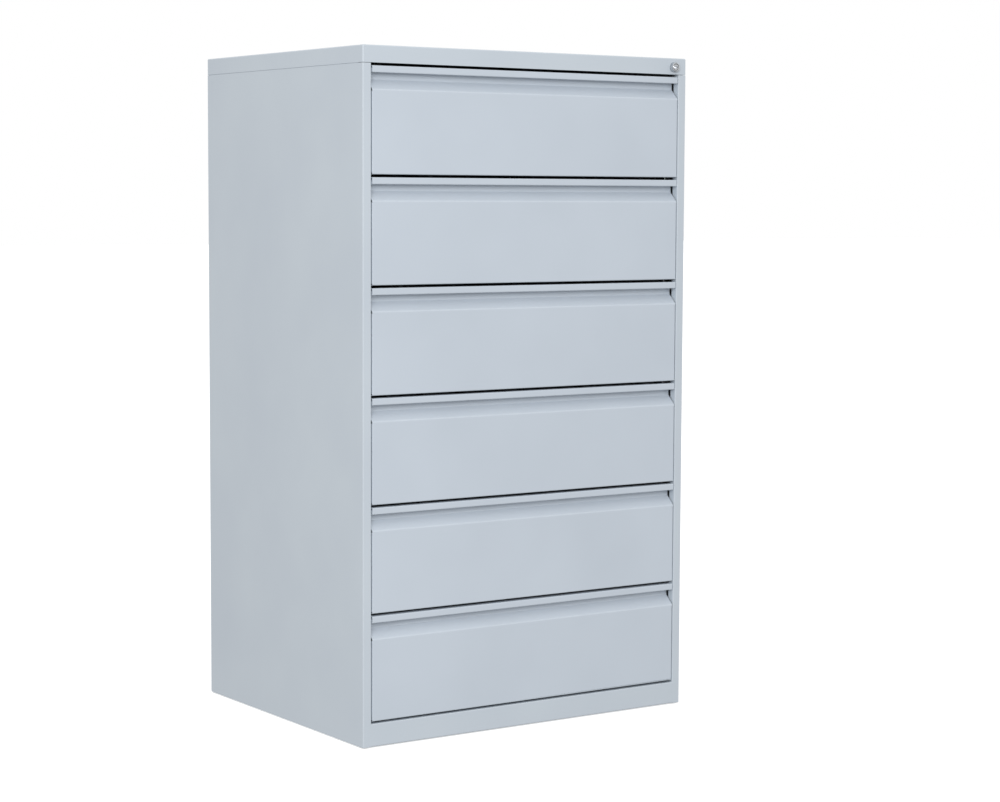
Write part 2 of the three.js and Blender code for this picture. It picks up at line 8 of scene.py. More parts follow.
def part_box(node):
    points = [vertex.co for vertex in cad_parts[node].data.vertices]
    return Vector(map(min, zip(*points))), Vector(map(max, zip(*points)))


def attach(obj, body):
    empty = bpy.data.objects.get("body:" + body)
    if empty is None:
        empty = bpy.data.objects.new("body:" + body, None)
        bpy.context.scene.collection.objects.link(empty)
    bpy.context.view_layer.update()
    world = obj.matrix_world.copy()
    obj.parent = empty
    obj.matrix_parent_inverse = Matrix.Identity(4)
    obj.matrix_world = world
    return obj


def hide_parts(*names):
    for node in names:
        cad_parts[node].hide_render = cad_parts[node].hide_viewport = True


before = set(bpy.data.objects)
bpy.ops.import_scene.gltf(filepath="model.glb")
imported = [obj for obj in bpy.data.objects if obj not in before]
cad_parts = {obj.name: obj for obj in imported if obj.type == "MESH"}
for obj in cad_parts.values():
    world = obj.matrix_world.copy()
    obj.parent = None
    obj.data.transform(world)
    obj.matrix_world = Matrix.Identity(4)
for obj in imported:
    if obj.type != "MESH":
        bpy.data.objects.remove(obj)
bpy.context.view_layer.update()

# ---- Sizes in metres. Every place comes from the frame's boxes ------------------------------------

SHEET = 0.001
FOLD = 0.001  # radius inside a press-brake fold
FOLD_STEPS = 5
CLEAR = 0.0003  # between two sheets that lie on each other
BURR = 0.0002  # taken off a sheared edge
SMOOTH_ANGLE = math.radians(35)
SAME_PLACE = 1e-6  # two points closer than this are one

STILE_WIDTH = 0.0185
STILE_DEPTH = 0.0155
REAR_RETURN = 0.028
PANEL_SEAM = 0.0008  # between a side panel and the lid's skirt
TAB_ENDS = (0.017, 0.010)  # from the front and the back to the tab inside the lid
TAB_TOP = 0.007  # below the lid's top
TAB_OVERLAP = 0.026  # spot-welded inside the panel
LID_ROUND = 0.0025
LID_LIP = 0.011  # depth of the lower lip of the channel behind the lid's skirt
GUSSET = 0.064
GUSSET_HEIGHTS = (0.014, 0.017)

RIVET_COUNT = 9  # down each rear return
RIVET_INSET = 0.012  # from the return's edge
RIVET_END = 0.055  # from the panel's ends to the first rivet
RIVET_RADIUS = 0.0032
RIVET_SINK = 0.0005  # depth of the dimple that a rivet sits in
RIVET_STEPS = 20

DRAWERS = range(1, 7)
LIP_HEIGHT = 0.013
LIP_HEM = 0.0031
LIP_HEM_HEIGHT = 0.007
RECESS_DEPTH = 0.0194
RECESS_WALL_END = 0.025  # below the front's top edge
FACE_TOP = 0.0438  # below the front's top edge
SLOPE_FOLD = 0.0035
FRONT_RETURN = 0.014
EDGE_FOLD = 0.0016  # outer radius of the fold at the flat face's ends
RELIEF = 0.003  # notch where two folds would meet
RELIEF_STEP = 0.00005

TRAY_HEM = 0.005
TRAY_HEM_DROP = 0.006
TRAY_FLANGE = 0.014
CATCH_GAP = 0.0015  # behind the lock bar
CATCH_STEEL = 0.003
CATCH_HEIGHTS = (0.098, 0.112)  # above the tray's underside
SCREW_PLACES = (-0.215, -0.020, 0.215)  # along each runner
SCREW_RADIUS = 0.0036
SCREW_HEAD = 0.0017
SCREW_SLOT = 0.0042  # length of each arm of the cross
SCREW_STEPS = 24

RUNNER_STEEL = 0.0012
RUNNER_FOLD = 0.0018
RUNNER_HOOK = 0.0022
OUTER_RUNNER_HALF = 0.023
UPRIGHT_STEEL = 0.0015
UPRIGHT_DEPTH = 0.0192
UPRIGHT_WIDTH = 0.030
UPRIGHT_STARTS = (-0.268, 0.255)
SLOT_PITCH = 0.025
SLOT_HEIGHT = 0.014
SLOT_HALF = 0.003
CAGE_STEEL = 0.0005
BALL_RADIUS = 0.0017
BALL_PITCH = 0.018
BALL_SEAT = 0.45  # share of the way from a cage's lips to its web
# Web, lips, half height and ends of the cages between the outer, middle and inner members.
CAGES = (
    (0.3561, 0.3490, 0.0199, (0.120, 0.280)),
    (0.3536, 0.3475, 0.0146, (-0.265, -0.105)),
)

GLIDE_EDGE = 0.001  # chamfer under the rim
GLIDE_RIM = 0.0035
GLIDE_TOP = 0.007
GLIDE_SHOULDER = 0.013
THREAD_PITCH = 0.00125
THREAD_RADII = (0.0034, 0.004)
GLIDE_NUT = (0.0075, 0.0072, 0.0137)  # radius, bottom and top
NUT_CHAMFER = 0.0005

BARREL_RADIUS = 0.0095
BARREL_BORE = 0.0062
BARREL_NUT = (0.0125, 0.0032, 0.0074)  # radius, and from the front plane to both its faces
LOCK_HOLE_RADIUS = 0.0098
LOCK_HOLE_DEPTH = 0.006  # through the lid's skirt and the channel behind it
CORE_RADIUS = 0.006
CORE_TAIL = 0.003  # half the size of its square end
KEYWAY = (0.0048, 0.0014, 0.0085)  # half width, half height and depth

FLOOR_HALF = 40
FLOOR_GLOW = 0.4  # the floor's own light, which keeps it white beside the cabinet
SKY_HEIGHTS = (-0.7, 0.1)  # the light grows between these heights of a direction. Straight up is 1
SKY_LEVELS = (0.30, 0.84)
SOFTBOX_SIZE = (2.4, 1.8)
SOFTBOX_WATTS = 108
SOFTBOX_PLACE = Vector((-2.9, -3.9, 2.2))
SOFTBOX_TARGET = Vector((0, 0, 0.7))
CAMERA_PLACE = (-2.6580, -4.1146, 1.0449)
CAMERA_TURNS = (("Z", -34.197), ("X", 85.061), ("Z", 0.257))  # heading, tilt and roll in degrees
CAMERA_LENS = 85.76  # mm, on a sensor 36 mm wide

CARCASS_LOW, CARCASS_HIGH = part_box("top_cap")
FRONT, BACK = CARCASS_LOW.y, CARCASS_HIGH.y
SIDE = CARCASS_HIGH.x
PANEL_TOP = CARCASS_LOW.z - PANEL_SEAM

AXES = {
    "X": (Vector((1, 0, 0)), Vector((0, 1, 0)), Vector((0, 0, 1))),
    "Y": (Vector((0, 1, 0)), Vector((1, 0, 0)), Vector((0, 0, 1))),
    "Z": (Vector((0, 0, 1)), Vector((1, 0, 0)), Vector((0, 1, 0))),
}


# ---- Sheet metal and turned parts -----------------------------------------------------------------


def start_shape():
    """An empty bmesh. Its vertex layer marks rounded folds, which the paint shows a shade lighter: a
    painted highlight, along with thin-coat wear.
    """
    bm = bmesh.new()
    bm.verts.layers.float.new("fold")
    return bm


def round_edges(bm, edges, radius, steps=FOLD_STEPS):
    """Rounds edges, and marks the middle of each rounded strip as a fold."""
    made = bmesh.ops.bevel(
        bm,
        geom=edges,
        offset=radius,
        offset_type="OFFSET",
        segments=steps,
        profile=0.5,
        affect="EDGES",
        clamp_overlap=False,
        material=-1,
    )
    layer = bm.verts.layers.float["fold"]
    strip = set(made["faces"])
    for vert in {v for face in strip for v in face.verts}:
        if all(face in strip for face in vert.link_faces):
            vert[layer] = 1.0


def drawn_line(bm, axis, line, stations):
    """Draws an outline out along an axis, so that the faces look to the left of its direction."""
    along, across, up = AXES[axis]
    row = [bm.verts.new(across * p[0] + up * p[1] + along * stations[0]) for p in line]
    edges = [bm.edges.new(pair) for pair in zip(row, row[1:])]
    for before, after in zip(stations, stations[1:]):
        made = bmesh.ops.extrude_edge_only(bm, edges=edges)["geom"]
        verts = [part for part in made if isinstance(part, bmesh.types.BMVert)]
        edges = [part for part in made if isinstance(part, bmesh.types.BMEdge)]
        bmesh.ops.translate(bm, verts=verts, vec=along * (after - before))
    if across.cross(up).dot(along) < 0:
        bmesh.ops.reverse_faces(bm, faces=bm.faces[:])


def corner_edges(bm, axis, corner):
    """The edges that lie along an axis through one corner of an outline."""
    along, across, up = AXES[axis]
    place = across * corner[0] + up * corner[1]

    def is_on(vert):
        return (vert.co - along * vert.co.dot(along) - place).length < SAME_PLACE

    return [edge for edge in bm.edges if all(is_on(vert) for vert in edge.verts)]


def folded_face(axis, line, stations, thickness=SHEET, fold=FOLD):
    """The left face of a folded sheet. A corner's third value is its own inner fold radius."""
    bm = start_shape()
    drawn_line(bm, axis, line, stations)
    for before, corner, after in zip(line, line[1:], line[2:]):
        into = Vector(corner[:2]) - Vector(before[:2])
        out = Vector(after[:2]) - Vector(corner[:2])
        turn = math.atan2(into.cross(out), into.dot(out))
        if abs(turn) < 0.001:
            continue
        radius = corner[2] if len(corner) > 2 else fold
        if turn < 0:
            radius += thickness
        round_edges(bm, corner_edges(bm, axis, corner), radius * math.tan(abs(turn) / 2))
    return bm


def give_thickness(bm, thickness=SHEET):
    bmesh.ops.solidify(bm, geom=bm.faces[:], thickness=thickness)
    return bm


def folded_sheet(axis, line, stations, thickness=SHEET, fold=FOLD):
    return give_thickness(folded_face(axis, line, stations, thickness, fold), thickness)


def mirrored(bm):
    """The left-hand version of a right-hand part."""
    bmesh.ops.scale(bm, vec=(-1, 1, 1), verts=bm.verts[:])
    bmesh.ops.reverse_faces(bm, faces=bm.faces[:])
    return bm


def plate(low, high, edge_round=2 * BURR):
    """A cut plate with its sharp edges taken off."""
    bm = start_shape()
    bmesh.ops.create_cube(bm, size=1.0)
    low, high = Vector(low), Vector(high)
    bmesh.ops.scale(bm, vec=high - low, verts=bm.verts[:])
    bmesh.ops.translate(bm, vec=(low + high) / 2, verts=bm.verts[:])
    round_edges(bm, bm.edges[:], edge_round, 2)
    return bm


def turned(profile, axis, centre, steps=48):
    """A part turned about an axis, from a profile of (radius, place along the axis)."""
    along, across, _ = AXES[axis]
    centre = Vector(centre)
    centre = centre - along * centre.dot(along)
    bm = start_shape()
    verts = [bm.verts.new(centre + across * radius + along * place) for radius, place in profile]
    edges = [bm.edges.new(pair) for pair in zip(verts, verts[1:])]
    bmesh.ops.spin(
        bm,
        geom=verts + edges,
        cent=centre,
        axis=along,
        angle=math.tau,
        steps=steps,
        use_merge=True,
    )
    bmesh.ops.remove_doubles(bm, verts=bm.verts[:], dist=SAME_PLACE)
    bmesh.ops.recalc_face_normals(bm, faces=bm.faces[:])
    return bm


def hex_nut(axis, centre, radius, start, end):
    """A hexagonal nut with its corners chamfered."""
    along, across, up = AXES[axis]
    bm = start_shape()
    bmesh.ops.create_cone(
        bm, cap_ends=True, segments=6, radius1=radius, radius2=radius, depth=abs(end - start)
    )
    turn = Matrix((across, up, along)).transposed()
    bmesh.ops.rotate(bm, matrix=turn, verts=bm.verts[:])
    centre = Vector(centre)
    middle = centre - along * centre.dot(along) + along * (start + end) / 2
    bmesh.ops.translate(bm, vec=middle, verts=bm.verts[:])
    round_edges(bm, bm.edges[:], NUT_CHAMFER, 2)
    bmesh.ops.recalc_face_normals(bm, faces=bm.faces[:])
    return bm


def joined(parts):
    """Several loose parts in one bmesh."""
    whole = start_shape()
    for part in parts:
        scrap = bpy.data.meshes.new("scrap")
        part.to_mesh(scrap)
        part.free()
        whole.from_mesh(scrap)
        bpy.data.meshes.remove(scrap)
    return whole


def object_from(bm, name):
    mesh = bpy.data.meshes.new(name)
    bm.to_mesh(mesh)
    bm.free()
    thing = bpy.data.objects.new(name, mesh)
    bpy.context.scene.collection.objects.link(thing)
    return thing


def cut(bm, cutters):
    """Cuts closed parts out of a closed part. Parts that overlap need a cut each."""
    body = object_from(bm, "body")
    tool = object_from(joined(cutters), "tool")
    modifier = body.modifiers.new("cut", "BOOLEAN")
    modifier.operation = "DIFFERENCE"
    modifier.solver = "EXACT"
    modifier.object = tool
    result = bmesh.new()
    result.from_object(body, bpy.context.evaluated_depsgraph_get())
    for scrap in (body, tool):
        mesh = scrap.data
        bpy.data.objects.remove(scrap)
        bpy.data.meshes.remove(mesh)
    return result


def add_piece(name, parts, body, material, slot, nodes=()):
    """Adds a piece that rides on a body and stands for the nodes it replaces."""
    piece = object_from(joined(parts), name)
    piece.data.materials.append(material)
    piece.data.shade_smooth()
    piece.data.set_sharp_from_angle(angle=SMOOTH_ANGLE)
    normals = piece.modifiers.new("flat faces stay flat", "WEIGHTED_NORMAL")
    normals.keep_sharp = True
    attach(piece, body)
    if nodes:
        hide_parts(*nodes)
    return piece


# ---- Materials ------------------------------------------------------------------------------------


def hex_colour(text):
    """An sRGB hex colour as linear red, green, blue and alpha."""
    channels = [int(text[i : i + 2], 16) / 255 for i in (1, 3, 5)]
    linear = [c / 12.92 if c <= 0.04045 else ((c + 0.055) / 1.055) ** 2.4 for c in channels]
    return (*linear, 1.0)


def add_node(tree, kind, settings=None, links=None, stops=()):
    """Adds a node. Settings are properties or input values, links join inputs to outputs, and stops
    are a colour ramp's two places and hex colours."""
    node = tree.nodes.new(kind)
    for key, value in (settings or {}).items():
        if isinstance(key, str) and hasattr(node, key):
            setattr(node, key, value)
        else:
            node.inputs[key].default_value = value
    for key, socket in (links or {}).items():
        tree.links.new(socket, node.inputs[key])
    for element, (place, colour) in zip(node.color_ramp.elements if stops else (), stops):
        element.position = place
        element.color = hex_colour(colour)
    return node


def start_material(name, settings):
    """A material with one Principled shader. Returns its tree, the shader and Object coordinates."""
    material = bpy.data.materials.new(name)
    material.use_nodes = True
    tree = material.node_tree
    tree.nodes.clear()
    shader = add_node(tree, "ShaderNodeBsdfPrincipled", settings)
    add_node(tree, "ShaderNodeOutputMaterial", links={"Surface": shader.outputs["BSDF"]})
    place = add_node(tree, "ShaderNodeTexCoord").outputs["Object"]
    return material, tree, shader, place


MIX_FACTOR, MIX_A, MIX_B, MIX_RESULT = 0, 6, 7, 2  # colour sockets of a Mix node
WHITE = (1.0, 1.0, 1.0, 1.0)


def per_metre(millimetres):
    """The scale of a pattern whose features are this far apart."""
    return 1000 / millimetres


# Polyester powder coat on steel, sprayed and baked: an even satin skin with a fine orange peel. It is
# thinnest and glossier on outside folds, and there its colour is painted a shade lighter: a painted
# highlight, together with wear of the thin coat.
def powder_coat(name, colours, fold_highlight_colour, roughness):
    material, tree, shader, place = start_material(name, {"IOR": 1.5})
    cloud = add_node(
        tree,
        "ShaderNodeTexNoise",
        {"Scale": per_metre(190), "Detail": 2.0, "Roughness": 0.5},
        {"Vector": place},
    )
    shades = add_node(
        tree,
        "ShaderNodeValToRGB",
        links={"Fac": cloud.outputs["Fac"]},
        stops=[(0.3, colours[0]), (0.7, colours[1])],
    )

    fold = add_node(tree, "ShaderNodeAttribute", {"attribute_name": "fold"})
    patches = add_node(
        tree,
        "ShaderNodeTexNoise",
        {"Scale": per_metre(22), "Detail": 5.0, "Roughness": 0.65},
        {"Vector": place},
    )
    # patchy strength of the lighter fold colour, which is painted highlight as well as wear
    wear_and_highlight_breakup = add_node(
        tree,
        "ShaderNodeMapRange",
        {"From Min": 0.4, "From Max": 0.7, "To Min": 0.1, "To Max": 0.55},
        {"Value": patches.outputs["Fac"]},
    )
    fold_wear_and_highlight = add_node(
        tree,
        "ShaderNodeMath",
        {"operation": "MULTIPLY"},
        {0: fold.outputs["Fac"], 1: wear_and_highlight_breakup.outputs["Result"]},
    )
    # mixes the lighter fold colour in along the folds: a painted highlight, with some wear
    paint = add_node(
        tree,
        "ShaderNodeMix",
        {"data_type": "RGBA", MIX_B: hex_colour(fold_highlight_colour)},
        {MIX_FACTOR: fold_wear_and_highlight.outputs["Value"], MIX_A: shades.outputs["Color"]},
    )
    tree.links.new(paint.outputs[MIX_RESULT], shader.inputs["Base Color"])

    gloss = add_node(
        tree,
        "ShaderNodeMapRange",
        {"To Min": roughness + 0.03, "To Max": roughness - 0.09},
        {"Value": fold_wear_and_highlight.outputs["Value"]},
    )
    tree.links.new(gloss.outputs["Result"], shader.inputs["Roughness"])

    peel = add_node(
        tree,
        "ShaderNodeTexNoise",
        {"Scale": per_metre(1.6), "Detail": 1.0},
        {"Vector": place},
    )
    skin = add_node(
        tree,
        "ShaderNodeBump",
        {"Strength": 1.0, "Distance": 0.000015},
        {"Height": peel.outputs["Fac"]},
    )
    waves = add_node(
        tree,
        "ShaderNodeTexNoise",
        {"Scale": per_metre(260), "Detail": 0.0},
        {"Vector": place},
    )
    panel = add_node(
        tree,
        "ShaderNodeBump",
        {"Strength": 1.0, "Distance": 0.0006},
        {"Height": waves.outputs["Fac"], "Normal": skin.outputs["Normal"]},
    )
    tree.links.new(panel.outputs["Normal"], shader.inputs["Normal"])
    return material


# Bright zinc plate on rolled steel: a bluish metal with a cloudy spangle and rolling streaks along its
# length, which break up its reflections.
def zinc_plate(name, streak_axis):
    material, tree, shader, place = start_material(name, {"Metallic": 1.0})
    stretch = [per_metre(1.5)] * 3
    stretch["XYZ".index(streak_axis)] = per_metre(60)
    mapping = add_node(tree, "ShaderNodeMapping", {"Scale": stretch}, {"Vector": place})
    streaks = add_node(
        tree,
        "ShaderNodeTexNoise",
        {"Scale": 1.0, "Detail": 3.0},
        {"Vector": mapping.outputs["Vector"]},
    )
    spangle = add_node(
        tree,
        "ShaderNodeTexVoronoi",
        {"Scale": per_metre(7)},
        {"Vector": place},
    )
    shades = add_node(
        tree,
        "ShaderNodeValToRGB",
        links={"Fac": streaks.outputs["Fac"]},
        stops=[(0.3, "#a9adb1"), (0.75, "#c9cccd")],
    )
    tint = add_node(
        tree,
        "ShaderNodeMix",
        {"data_type": "RGBA", "blend_type": "MULTIPLY", MIX_FACTOR: 0.12},
        {MIX_A: shades.outputs["Color"], MIX_B: spangle.outputs["Color"]},
    )
    tree.links.new(tint.outputs[MIX_RESULT], shader.inputs["Base Color"])
    gloss = add_node(
        tree,
        "ShaderNodeMapRange",
        {"From Min": 0.25, "From Max": 0.75, "To Min": 0.28, "To Max": 0.46},
        {"Value": streaks.outputs["Fac"]},
    )
    tree.links.new(gloss.outputs["Result"], shader.inputs["Roughness"])
    skin = add_node(
        tree,
        "ShaderNodeBump",
        {"Strength": 0.6, "Distance": 0.00002},
        {"Height": streaks.outputs["Fac"]},
    )
    tree.links.new(skin.outputs["Normal"], shader.inputs["Normal"])
    return material


# Bright nickel on turned zinc alloy: a soft mirror with faint turning rings about the lock's axis.
def nickel_plate(name, centre):
    material, tree, shader, place = start_material(name, {"Metallic": 1.0})
    middle = add_node(
        tree,
        "ShaderNodeMapping",
        {"Location": (-centre.x, 0.0, -centre.z), "Scale": (1.0, 0.0, 1.0)},
        {"Vector": place},
    )
    from_axis = add_node(
        tree,
        "ShaderNodeVectorMath",
        {"operation": "LENGTH"},
        {0: middle.outputs["Vector"]},
    )
    rings = add_node(
        tree,
        "ShaderNodeTexNoise",
        {"noise_dimensions": "1D", "Scale": per_metre(0.25), "Detail": 2.0},
        {"W": from_axis.outputs["Value"]},
    )
    smudges = add_node(
        tree,
        "ShaderNodeTexNoise",
        {"Scale": per_metre(4), "Detail": 3.0},
        {"Vector": place},
    )
    shades = add_node(
        tree,
        "ShaderNodeValToRGB",
        links={"Fac": smudges.outputs["Fac"]},
        stops=[(0.35, "#bcbfc3"), (0.65, "#d6d9dc")],
    )
    tree.links.new(shades.outputs["Color"], shader.inputs["Base Color"])
    gloss = add_node(
        tree,
        "ShaderNodeMapRange",
        {"To Min": 0.1, "To Max": 0.3},
        {"Value": smudges.outputs["Fac"]},
    )
    tree.links.new(gloss.outputs["Result"], shader.inputs["Roughness"])
    skin = add_node(
        tree,
        "ShaderNodeBump",
        {"Strength": 0.5, "Distance": 0.00001},
        {"Height": rings.outputs["Fac"]},
    )
    tree.links.new(skin.outputs["Normal"], shader.inputs["Normal"])
    return material


# Black nylon 6, moulded in a spark-eroded tool: matt, with a fine grain and paler rubbed patches.
def black_nylon(name):
    material, tree, shader, place = start_material(name, {"IOR": 1.53})
    rubbed = add_node(
        tree,
        "ShaderNodeTexNoise",
        {"Scale": per_metre(9), "Detail": 4.0},
        {"Vector": place},
    )
    shades = add_node(
        tree,
        "ShaderNodeValToRGB",
        links={"Fac": rubbed.outputs["Fac"]},
        stops=[(0.4, "#1d1e20"), (0.8, "#37383a")],
    )
    tree.links.new(shades.outputs["Color"], shader.inputs["Base Color"])
    gloss = add_node(
        tree,
        "ShaderNodeMapRange",
        {"To Min": 0.5, "To Max": 0.7},
        {"Value": rubbed.outputs["Fac"]},
    )
    tree.links.new(gloss.outputs["Result"], shader.inputs["Roughness"])
    grain = add_node(
        tree,
        "ShaderNodeTexNoise",
        {"Scale": per_metre(0.5), "Detail": 2.0},
        {"Vector": place},
    )
    skin = add_node(
        tree,
        "ShaderNodeBump",
        {"Strength": 0.7, "Distance": 0.00003},
        {"Height": grain.outputs["Fac"]},
    )
    tree.links.new(skin.outputs["Normal"], shader.inputs["Normal"])
    return material


# ---- Carcass --------------------------------------------------------------------------------------


def side_sheet():
    """The right-hand side panel: rear return, side, stile and the stile's flank in one sheet."""
    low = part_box("right_side_panel")[0]
    line = [
        (SIDE - REAR_RETURN, BACK),
        (SIDE, BACK),
        (SIDE, FRONT),
        (SIDE - STILE_WIDTH, FRONT),
        (SIDE - STILE_WIDTH, FRONT + STILE_DEPTH),
    ]
    skin = folded_sheet("Z", line, [low.z, PANEL_TOP])
    first, last = low.z + RIVET_END, PANEL_TOP - RIVET_END
    pitch = (last - first) / (RIVET_COUNT - 1)
    x = SIDE - REAR_RETURN + RIVET_INSET
    places = [Vector((x, 0, first + i * pitch)) for i in range(RIVET_COUNT)]
    skin = cut(skin, [rivet_dimple(place) for place in places])
    tab = plate(
        (SIDE - 2 * SHEET - CLEAR, FRONT + TAB_ENDS[0], PANEL_TOP - TAB_OVERLAP),
        (SIDE - SHEET - BURR, BACK - TAB_ENDS[1], CARCASS_HIGH.z - TAB_TOP),
        BURR,
    )
    return [skin, tab, *(rivet_head(place) for place in places)]


def rivet_dimple(place):
    radius = RIVET_RADIUS + BURR
    ends = (BACK - RIVET_SINK, BACK + SHEET)
    profile = [(0, ends[0]), (radius, ends[0]), (radius, ends[1]), (0, ends[1])]
    return turned(profile, "Y", place, RIVET_STEPS)


def rivet_head(place):
    """A painted blind rivet in its dimple, flush with the sheet, with the mandrel's hole."""
    top = BACK - BURR / 2
    hole = RIVET_RADIUS / 3
    profile = [
        (0, BACK - RIVET_SINK - BURR),
        (RIVET_RADIUS, BACK - RIVET_SINK - BURR),
        (RIVET_RADIUS, top - BURR),
        (RIVET_RADIUS - 2 * BURR, top),
        (hole, top),
        (hole, top - RIVET_SINK),
        (0, top - RIVET_SINK),
    ]
    return turned(profile, "Y", place, RIVET_STEPS)


def hollow_box(low, high, edge_round):
    """A tray turned upside down, with its corners welded and ground round."""
    bm = start_shape()
    bmesh.ops.create_cube(bm, size=1.0)
    bmesh.ops.scale(bm, vec=high - low, verts=bm.verts[:])
    bmesh.ops.translate(bm, vec=(low + high) / 2, verts=bm.verts[:])
    underside = [face for face in bm.faces if face.normal.z < -0.5]
    bmesh.ops.delete(bm, geom=underside, context="FACES_ONLY")
    round_edges(bm, [edge for edge in bm.edges if not edge.is_boundary], edge_round)
    return give_thickness(bm)


def lid_shell():
    return [cut(hollow_box(CARCASS_LOW, CARCASS_HIGH, LID_ROUND), [lock_hole()])]


def lock_hole():
    ends = (FRONT - SHEET, FRONT + LOCK_HOLE_DEPTH)
    radius = LOCK_HOLE_RADIUS
    profile = [(0, ends[0]), (radius, ends[0]), (radius, ends[1]), (0, ends[1])]
    return turned(profile, "Y", lock_centre())


def lock_centre():
    low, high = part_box("lock_plug")
    return (low + high) / 2


def lid_channel():
    low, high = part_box("top_front_brace")
    line = [(FRONT + LID_LIP, low.z), (low.y, low.z), (low.y, high.z), (high.y, high.z)]
    return [cut(folded_sheet("X", line, [low.x, high.x]), [lock_hole()])]


def plinth_channel():
    """Its ends run on to the flats of the stiles, where they are welded and ground flush."""
    low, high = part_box("plinth_rail")
    line = [(high.y, low.z), (low.y, low.z), (low.y, high.z), (high.y, high.z)]
    reach = SIDE - STILE_WIDTH + FOLD + SHEET
    return [folded_sheet("X", line, [-reach, reach])]


def rear_sheet():
    return [plate(*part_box("back_panel"), BURR)]


def floor_pan():
    """The carcass floor with its edges turned down, and a gusset for a foot in each corner."""
    low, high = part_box("base_pan")
    gussets = []
    for sign_x in (-1, 1):
        for end_y, sign_y in ((low.y, 1), (high.y, -1)):
            xs = sorted((sign_x * (high.x - SHEET), sign_x * (high.x - GUSSET)))
            ys = sorted((end_y + sign_y * SHEET, end_y + sign_y * GUSSET))
            corners = zip(xs, ys, GUSSET_HEIGHTS)
            gussets.append(plate(*corners))
    return [hollow_box(low, high, 2 * FOLD), *gussets]


def slotted_upright(start, low_z, high_z, right):
    """A channel with a row of slots, standing against the side panel."""
    web = right - UPRIGHT_DEPTH
    middle = start + UPRIGHT_WIDTH / 2
    line = [
        (right, start),
        (web, start),
        (web, middle - SLOT_HALF),
        (web, middle + SLOT_HALF),
        (web, start + UPRIGHT_WIDTH),
        (right, start + UPRIGHT_WIDTH),
    ]
    count = int((high_z - low_z) / SLOT_PITCH)
    stations = [low_z]
    for i in range(count):
        bottom = low_z + (i + 0.5) * SLOT_PITCH - SLOT_HEIGHT / 2
        stations += [bottom, bottom + SLOT_HEIGHT]
    stations.append(high_z)
    bm = folded_face("Z", line, stations, UPRIGHT_STEEL, UPRIGHT_STEEL)

    def is_slot(face):
        place = face.calc_center_median()
        row = (place.z - low_z) / SLOT_PITCH
        in_row = row < count and abs(row % 1 - 0.5) < SLOT_HEIGHT / SLOT_PITCH / 2
        return in_row and abs(place.x - web) < SAME_PLACE and abs(place.y - middle) < SLOT_HALF

    bmesh.ops.delete(bm, geom=[face for face in bm.faces if is_slot(face)], context="FACES")
    return give_thickness(bm, UPRIGHT_STEEL)


def runner_member(web, lips, half, ends, middle_z, hook=RUNNER_HOOK, steel=RUNNER_STEEL):
    """A rolled runner member: a channel along Y with its lips hooked round the balls."""
    turn = math.copysign(1, web - lips)
    line = [
        (lips, middle_z + turn * half),
        (web, middle_z + turn * half),
        (web, middle_z - turn * half),
        (lips, middle_z - turn * half),
    ]
    if hook:
        line = [
            (lips, middle_z + turn * (half - hook)),
            *line,
            (lips, middle_z - turn * (half - hook)),
        ]
    fold = RUNNER_FOLD if not hook else min(RUNNER_FOLD, hook - steel)
    return folded_sheet("Y", line, list(ends), steel, fold)


def runner_rack():
    """Two slotted uprights with the six fixed runner members welded across them."""
    low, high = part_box("right_runner_frame")
    parts = [slotted_upright(start, low.z, high.z, high.x) for start in UPRIGHT_STARTS]
    for i in DRAWERS:
        inner_low, inner_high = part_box(f"drawer_{i}_right_inner_runner")
        middle_z = (inner_low.z + inner_high.z) / 2
        web = high.x - UPRIGHT_DEPTH
        parts.append(runner_member(web, low.x, OUTER_RUNNER_HALF, (low.y, high.y), middle_z))
    return parts


def levelling_glide(node):
    """A moulded glide with a hexagonal lock nut on its threaded stud."""
    low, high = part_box(node)
    centre = (low + high) / 2
    radius = (high.x - low.x) / 2
    foot = [
        (0, 0),
        (radius - GLIDE_EDGE, 0),
        (radius, GLIDE_EDGE),
        (radius, GLIDE_RIM),
        (GLIDE_SHOULDER, GLIDE_TOP),
        (0, GLIDE_TOP),
    ]
    root, crest = THREAD_RADII
    stud = [(0, GLIDE_RIM)]
    for i in range(int((high.z - GLIDE_TOP) / THREAD_PITCH)):
        start = GLIDE_TOP + i * THREAD_PITCH
        stud += [(root, start), (crest, start + THREAD_PITCH / 2)]
    stud += [(root, high.z - 2 * BURR), (root - 2 * BURR, high.z), (0, high.z)]
    nut = hex_nut("Z", centre, *GLIDE_NUT)
    return turned(foot, "Z", centre, 40), turned(stud, "Z", centre, 24), nut


# ---- Drawer ---------------------------------------------------------------------------------------


def drawer_front_sheet(node):
    """One sheet: bottom return, flat face, slope, recess wall, top, lip strip and its closed hem."""
    low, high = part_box(node)
    bottom, top = low.z, high.z
    wall = low.y + RECESS_DEPTH
    lip_end = top - LIP_HEIGHT + SHEET
    hem_fold = (LIP_HEM - SHEET) / 2 - RELIEF_STEP
    line = [
        (low.y + FRONT_RETURN, bottom),
        (low.y, bottom),
        (low.y, top - FACE_TOP, SLOPE_FOLD),
        (wall, top - RECESS_WALL_END, SLOPE_FOLD),
        (wall, top - SHEET),
        (low.y + SHEET, top - SHEET),
        (low.y + SHEET, lip_end, hem_fold),
        (low.y + LIP_HEM, lip_end, hem_fold),
        (low.y + LIP_HEM, lip_end + LIP_HEM_HEIGHT),
    ]
    bm = folded_face("X", line, [low.x, high.x])
    for end in (low.x, high.x):
        turn_back_end(bm, end, low.y, bottom + RELIEF, top - FACE_TOP - RELIEF)
    return give_thickness(bm)


